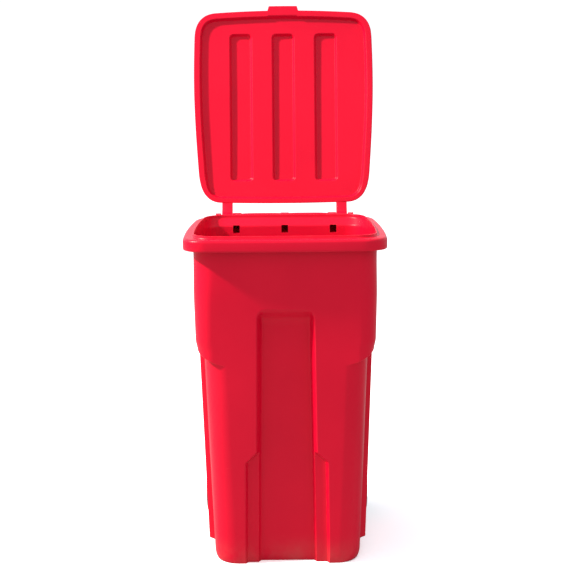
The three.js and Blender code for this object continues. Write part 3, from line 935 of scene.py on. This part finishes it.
def lid_moulding():
    """Both faces of the lid, drawn shut and joined round a rounded edge."""
    under = lid_sheet(0.0)
    over = lid_sheet(LID_SKIN)
    count = len(under[0])
    ring_total = len(under) - 1
    edge_lift = (0.0017, 0.0006, 0.0001)
    for ring, lift in enumerate(edge_lift):
        under[ring][:, 2] += lift
        over[ring][:, 2] -= lift
    for part in over:
        part[:, 2] += LID_SKIN
    lower = np.concatenate(under)
    upper = np.concatenate(over)
    faces = [face[::-1] for face in sheet_faces(0, count, ring_total)]
    faces += sheet_faces(len(lower), count, ring_total)
    top = len(lower)
    faces += [[i, (i + 1) % count, top + (i + 1) % count, top + i] for i in range(count)]
    points = np.concatenate([lower, upper])
    points[:, 2] += LID_SEAT
    return new_piece("lid_moulding", points, faces)


# ---- Lid: arms -------------------------------------------------------------------------------------
# Two swan-neck arms, moulded with the lid, reach over the rear of the rim to the pins. A heel behind each
# pin comes down on a stop of the tub when the lid is thrown open, and holds it there.
ARM_X = (0.169, 0.203)
ARM_ROUND = 0.0035
ARM_EYE = 0.0148
neck_outline = ([(0.2838, 0.9720), (0.2862, 0.9632), (0.3010, 0.9624), (0.3230, 0.9560)]
                + arc(HINGE_YZ, ARM_EYE, 195, 430, 30)
                + [(0.345, 0.9715), (0.324, 0.9800), (0.2890, 0.9797), (0.2838, 0.9760)])
heel_outline = [(0.350, 0.947), (0.3745, 0.947), (0.376, 0.9485), (0.376, 0.9575), (0.3745, 0.959),
                (0.350, 0.959)]


def lid_arm(side):
    x0, x1 = sorted((side * ARM_X[0], side * ARM_X[1]))
    arm = side_plate("lid_arm", neck_outline, x0, x1, ARM_ROUND)
    carve(arm, side_plate("heel", heel_outline, x0 + 0.002, x1 - 0.002, 0.0012), "UNION")
    return carve(arm, turned("arm_bore", rod_profile(x0 - 0.01, x1 + 0.01, PIN_BORE), HINGE, 40))


lid = lid_moulding()
for side in (1, -1):
    carve(lid, lid_arm(side), "UNION")
smooth(lid, 32)
about_hinge = Matrix.Translation(HINGE) @ Matrix.Rotation(-LID_OPEN, 4, "X") @ Matrix.Translation(-HINGE)
lid.data.transform(about_hinge)
dress(lid, red, "lid", "red_plastic", "lid")

# ---- Lid pins and plugs -----------------------------------------------------------------------------
# Two red hollow pins join the lid to the tub. Each goes in from outside, through lug and arm into the
# gusset, and a red plug pressed up its bore spreads its tip so that it can't work out.
PIN_PROFILE = ((0.149, 0.0033), (0.149, 0.0070), (0.1498, 0.0077), (0.2183, 0.0077), (0.2183, 0.0118),
               (0.2188, 0.0126), (0.2198, 0.0130), (0.2212, 0.0130), (0.2223, 0.0125), (0.2229, 0.0115),
               (0.2230, 0.0100), (0.2230, 0.0040), (0.2226, 0.0033))
PLUG_PROFILE = ((0.150, 0), (0.150, 0.0022), (0.1508, 0.0030), (0.2233, 0.0030), (0.2233, 0.0064),
                (0.2238, 0.0070), (0.2245, 0.0070), (0.2251, 0.0064), (0.2254, 0.0050), (0.2255, 0.0030),
                (0.2255, 0))
SIDES = (("right", 1), ("left", -1))


def sided(profile, side):
    """A profile given for the right side, turned round for the left."""
    return [(side * x, radius) for x, radius in profile]


for label, side in SIDES:
    pin = smooth(turned(f"hollow_pin_{label}", sided(PIN_PROFILE, side), HINGE, 56))
    dress(pin, red, "tub", "red_plastic", f"lid_pin_{label}")
    plug = smooth(turned(f"spreading_plug_{label}", sided(PLUG_PROFILE, side), HINGE, 40))
    dress(plug, red, "tub", "red_plastic", f"pin_plug_{label}")

# ---- Axle, spacers, washers and lock rings ------------------------------------------------------------
# A zinc plated steel rod runs through the four eyes. Outside them come a grey nylon spacer, the wheel, a
# plated washer and a dished push-on ring whose inner edge bites the rod, hidden under the hub cap.
ROD_PROFILE = ((-0.259, 0), (-0.259, 0.0098), (-0.2578, 0.0110), (0.2578, 0.0110), (0.259, 0.0098),
               (0.259, 0))
SPACER_PROFILE = ((0.2033, 0.0117), (0.2033, 0.0164), (0.2039, 0.0170), (0.2131, 0.0170), (0.2137, 0.0164),
                  (0.2137, 0.0117), (0.2133, 0.0113), (0.2037, 0.0113))
WASHER_PROFILE = ((0.2523, 0.0113), (0.2523, 0.0187), (0.2526, 0.0190), (0.2540, 0.0190), (0.2543, 0.0187),
                  (0.2543, 0.0113))
RING_PROFILE = ((0.2546, 0.0142), (0.2546, 0.0167), (0.2549, 0.0170), (0.2556, 0.0170), (0.2559, 0.0166),
                (0.2576, 0.0122), (0.2574, 0.0113), (0.2566, 0.0113), (0.2556, 0.0142))
zinc, tree, shader = new_material("zinc_plate")
surface = use_group(tree, GRAIN, Grain_Scale=420.0, Grain_Height=0.5, Ripple_Scale=60.0)
edges = use_group(tree, WEAR_AND_HIGHLIGHT, Radius=0.0012, Amount=0.5, Break_Up=120.0)
colour = tinted(tree, surface["Drift"], (0.50, 0.51, 0.52, 1), (0.66, 0.66, 0.64, 1))
tree.links.new(tinted(tree, edges["Mask"], colour, (0.34, 0.27, 0.20, 1)), shader.inputs["Base Color"])
spread = add_node(tree, "ShaderNodeMapRange", Value=surface["Drift"], To_Min=0.22, To_Max=0.48)
tree.links.new(spread.outputs[0], shader.inputs["Roughness"])
relief = add_node(tree, "ShaderNodeBump", Height=surface["Height"], Strength=0.15, Distance=0.0005)
tree.links.new(relief.outputs["Normal"], shader.inputs["Normal"])
shader.inputs["Metallic"].default_value = 1.0
nylon, shader = grained_material(
    "grey_nylon", deep=(0.22, 0.22, 0.21, 1), light=(0.30, 0.30, 0.285, 1), worn_and_highlight=(0.42, 0.42, 0.40, 1),
    rough=0.46, grain=(1500.0, 0.2, 20.0), wear_and_highlight=(0.0012, 0.4, 150.0), dust=(0.3, 0.45, 60.0),
    bump=(0.2, 0.001))

rod = smooth(turned("axle_rod", ROD_PROFILE, AXLE, 56))
dress(rod, zinc, "tub", "zinc_steel", "axle")
for label, side in SIDES:
    spacer = smooth(turned(f"nylon_spacer_{label}", sided(SPACER_PROFILE, side), AXLE, 48))
    dress(spacer, nylon, "tub", "grey_nylon", f"axle_spacer_{label}")
    washer = smooth(turned(f"plain_washer_{label}", sided(WASHER_PROFILE, side), AXLE, 56))
    dress(washer, zinc, "tub", "zinc_steel", f"axle_washer_{label}")
    ring = smooth(turned(f"push_ring_{label}", sided(RING_PROFILE, side), AXLE, 48))
    dress(ring, zinc, "tub", "zinc_steel", f"lock_ring_{label}")

# ---- Wheels ------------------------------------------------------------------------------------------
# A black moulded core, with eight ribs across its web, carries a solid rubber tyre with two grooves. A
# snapped-on cap hides the axle's end. All three are turned about the axle.
TYRE_MIDDLE = 0.235
SPOKE_COUNT = 8
SPOKE_SIZE = (0.032, 0.006, 0.054)
SPOKE_REACH = 0.049
WEB_MIDDLE = 0.234
# Half the tyre's section as (distance from its middle, radius), from the core out over the tread
TREAD = [(0.0210, 0.0820), (0.0222, 0.0825), (0.0230, 0.0838), (0.0230, 0.0900), (0.0226, 0.0930),
         (0.0214, 0.0956), (0.0195, 0.0978), (0.0170, 0.0992), (0.0140, 0.1000), (0.0105, 0.1000),
         (0.0098, 0.0996), (0.0092, 0.0977), (0.0084, 0.0974), (0.0068, 0.0974), (0.0060, 0.0977),
         (0.0054, 0.0996), (0.0047, 0.1000)]
CORE_PROFILE = ((0.2140, 0.0119), (0.2146, 0.0113), (0.2514, 0.0113), (0.2520, 0.0119), (0.2520, 0.0230),
                (0.2510, 0.0240), (0.2410, 0.0244), (0.2388, 0.0252), (0.2380, 0.0272), (0.2380, 0.0708),
                (0.2388, 0.0728), (0.2410, 0.0736), (0.2544, 0.0742), (0.2550, 0.0748), (0.2550, 0.0811),
                (0.2544, 0.0817), (0.2156, 0.0817), (0.2150, 0.0811), (0.2150, 0.0748), (0.2156, 0.0742),
                (0.2290, 0.0736), (0.2312, 0.0728), (0.2320, 0.0708), (0.2320, 0.0272), (0.2312, 0.0252),
                (0.2290, 0.0244), (0.2150, 0.0240), (0.2140, 0.0230))
CAP_PROFILE = ((0.2620, 0), (0.2619, 0.0100), (0.2615, 0.0170), (0.2606, 0.0212), (0.2592, 0.0232),
               (0.2570, 0.0240), (0.2527, 0.0240), (0.2523, 0.0236), (0.2523, 0.0214), (0.2527, 0.0210),
               (0.2582, 0.0208), (0.2593, 0.0195), (0.2599, 0.0150), (0.2600, 0.0100), (0.2600, 0))
black, shader = grained_material(
    "black_plastic", deep=(0.0095, 0.0095, 0.0100, 1), light=(0.0150, 0.0150, 0.0155, 1),
    worn_and_highlight=(0.055, 0.054, 0.052, 1), rough=0.44, grain=(1200.0, 0.25, 18.0), wear_and_highlight=(0.0015, 0.6, 90.0),
    dust=(0.26, 0.40, 50.0), bump=(0.25, 0.001))
rubber, shader = grained_material(
    "tyre_rubber", deep=(0.0075, 0.0075, 0.0075, 1), light=(0.0135, 0.0130, 0.0125, 1),
    worn_and_highlight=(0.050, 0.046, 0.042, 1), rough=0.78, grain=(800.0, 0.5, 25.0), wear_and_highlight=(0.002, 0.7, 80.0),
    dust=(0.28, 0.55, 40.0), bump=(0.35, 0.0012))


def spoke_tree():
    """Flat ribs round a wheel's centre line, each standing out from the hub to the rim."""
    tree, given, out = nodes_tree("wheel_ribs", ("Count", "NodeSocketInt"), ("Size", "NodeSocketVector"),
                                  ("Reach", FLOAT), ("Centre", "NodeSocketVector"),
                                  ("Material", "NodeSocketMaterial"))
    plate = add_node(tree, "GeometryNodeMeshCube", Size=given["Size"])
    offset = add_node(tree, "ShaderNodeCombineXYZ", Z=given["Reach"])
    moved = add_node(tree, "GeometryNodeTransform", Geometry=plate.outputs[0],
                     Translation=offset.outputs[0])
    points = add_node(tree, "GeometryNodePoints", Count=given["Count"])
    index = add_node(tree, "GeometryNodeInputIndex")
    step = add_node(tree, "ShaderNodeMath", {"operation": "DIVIDE"}, i0=index.outputs[0],
                    i1=given["Count"])
    angle = add_node(tree, "ShaderNodeMath", {"operation": "MULTIPLY"}, i0=step.outputs[0],
                     i1=2 * math.pi)
    turn = add_node(tree, "ShaderNodeCombineXYZ", X=angle.outputs[0])
    copies = add_node(tree, "GeometryNodeInstanceOnPoints", Points=points.outputs[0],
                      Instance=moved.outputs[0], Rotation=turn.outputs[0])
    placed = add_node(tree, "GeometryNodeTransform", Geometry=copies.outputs[0],
                      Translation=given["Centre"])
    real = add_node(tree, "GeometryNodeRealizeInstances", Geometry=placed.outputs[0])
    painted = add_node(tree, "GeometryNodeSetMaterial", Geometry=real.outputs[0],
                       Material=given["Material"])
    tree.links.new(painted.outputs[0], out["Geometry"])
    return tree


wheel_ribs = spoke_tree()
for label, side in SIDES:
    section = [(side * (TYRE_MIDDLE + x), r) for x, r in TREAD]
    section += [(side * (TYRE_MIDDLE - x), r) for x, r in TREAD[::-1]]
    tyre = smooth(turned(f"solid_tyre_{label}", section, AXLE, 120))
    dress(tyre, rubber, f"wheel_{label}", "tyre_rubber", f"tyre_{label}")

    core = turned(f"wheel_centre_{label}", sided(CORE_PROFILE, side), AXLE, 96)
    ribs = grown(new_piece("ribs", [(0, 0, 0)], []), wheel_ribs, Count=SPOKE_COUNT, Size=SPOKE_SIZE,
                 Reach=SPOKE_REACH, Centre=(side * WEB_MIDDLE, AXLE.y, AXLE.z), Material=black)
    smooth(carve(core, ribs, "UNION"))
    dress(core, black, f"wheel_{label}", "black_plastic", f"wheel_core_{label}")

    cap = smooth(turned(f"snap_cap_{label}", sided(CAP_PROFILE, side), AXLE, 72))
    dress(cap, black, f"wheel_{label}", "black_plastic", f"hub_cap_{label}")

# ---- Room ------------------------------------------------------------------------------------------
# A plain white floor under an even sky, with one warm lamp high on the left that grazes the front. Floor
# and sky look whiter than the light they pass on, so the ground stays white and the red keeps its depth.
FLOOR_REACH = 60
FLOOR_SHADE = (0.96, 0.40)
FLOOR_GLOW = (0.36, 0.0)
SKY_STRENGTH = (1.10, 0.95)
SKY_COLOUR = (0.95, 0.98, 1.05, 1)
LAMP_PLACE = Vector((-4.22, -0.86, 4.56))
LAMP_AIM = Vector((0, 0, 0.8))
LAMP_SIZE = 0.35
LAMP_POWER = 700
LAMP_COLOUR = (1.0, 0.93, 0.85)
CAMERA_PLACE = (-0.0009, -3.916, 1.426)
CAMERA_LENS = 83.242


def seen_and_passed_on(tree, values, socket):
    """Sets one value for what the eye sees straight and another for the light that is passed on."""
    seen, passed_on = values
    path = add_node(tree, "ShaderNodeLightPath")
    total = add_node(tree, "ShaderNodeMath", {"operation": "MULTIPLY_ADD"},
                     i0=path.outputs["Is Camera Ray"], i1=seen - passed_on, i2=passed_on)
    tree.links.new(total.outputs[0], socket)


corners = [(x * FLOOR_REACH, y * FLOOR_REACH, 0) for x, y in ((-1, -1), (1, -1), (1, 1), (-1, 1))]
floor = new_piece("floor", corners, [[0, 1, 2, 3]])
floor_paint, tree, shader = new_material("floor_paint")
shader.inputs["Roughness"].default_value = 0.95
shader.inputs["Specular IOR Level"].default_value = 0.0
shader.inputs["Emission Color"].default_value = (1, 1, 1, 1)
seen_and_passed_on(tree, FLOOR_SHADE, shader.inputs["Base Color"])
seen_and_passed_on(tree, FLOOR_GLOW, shader.inputs["Emission Strength"])
floor.data.materials.append(floor_paint)

world = bpy.data.worlds.new("studio")
bpy.context.scene.world = world
world.use_nodes = True
sky = world.node_tree.nodes["Background"]
sky.inputs["Color"].default_value = SKY_COLOUR
seen_and_passed_on(world.node_tree, SKY_STRENGTH, sky.inputs["Strength"])

light = bpy.data.lights.new("key", "AREA")
light.shape = "DISK"
light.size = LAMP_SIZE
light.energy = LAMP_POWER
light.color = LAMP_COLOUR
lamp = bpy.data.objects.new("key", light)
bpy.context.scene.collection.objects.link(lamp)
lamp.location = LAMP_PLACE
lamp.rotation_euler = (LAMP_AIM - LAMP_PLACE).to_track_quat("-Z", "Y").to_euler()

camera = bpy.data.cameras.new("camera")
camera.lens = CAMERA_LENS
view = bpy.data.objects.new("camera", camera)
bpy.context.scene.collection.objects.link(view)
pitch, roll, turn = (math.radians(a) for a in (9.3, -0.5, -0.05))
view.matrix_world = (Matrix.Rotation(turn, 4, "Z") @ Matrix.Translation(CAMERA_PLACE)
                     @ Matrix.Rotation(math.pi / 2 - pitch, 4, "X") @ Matrix.Rotation(roll, 4, "Z"))
bpy.context.scene.camera = view
bpy.context.scene.view_settings.view_transform = "Standard"

bpy.context.view_layer.update()
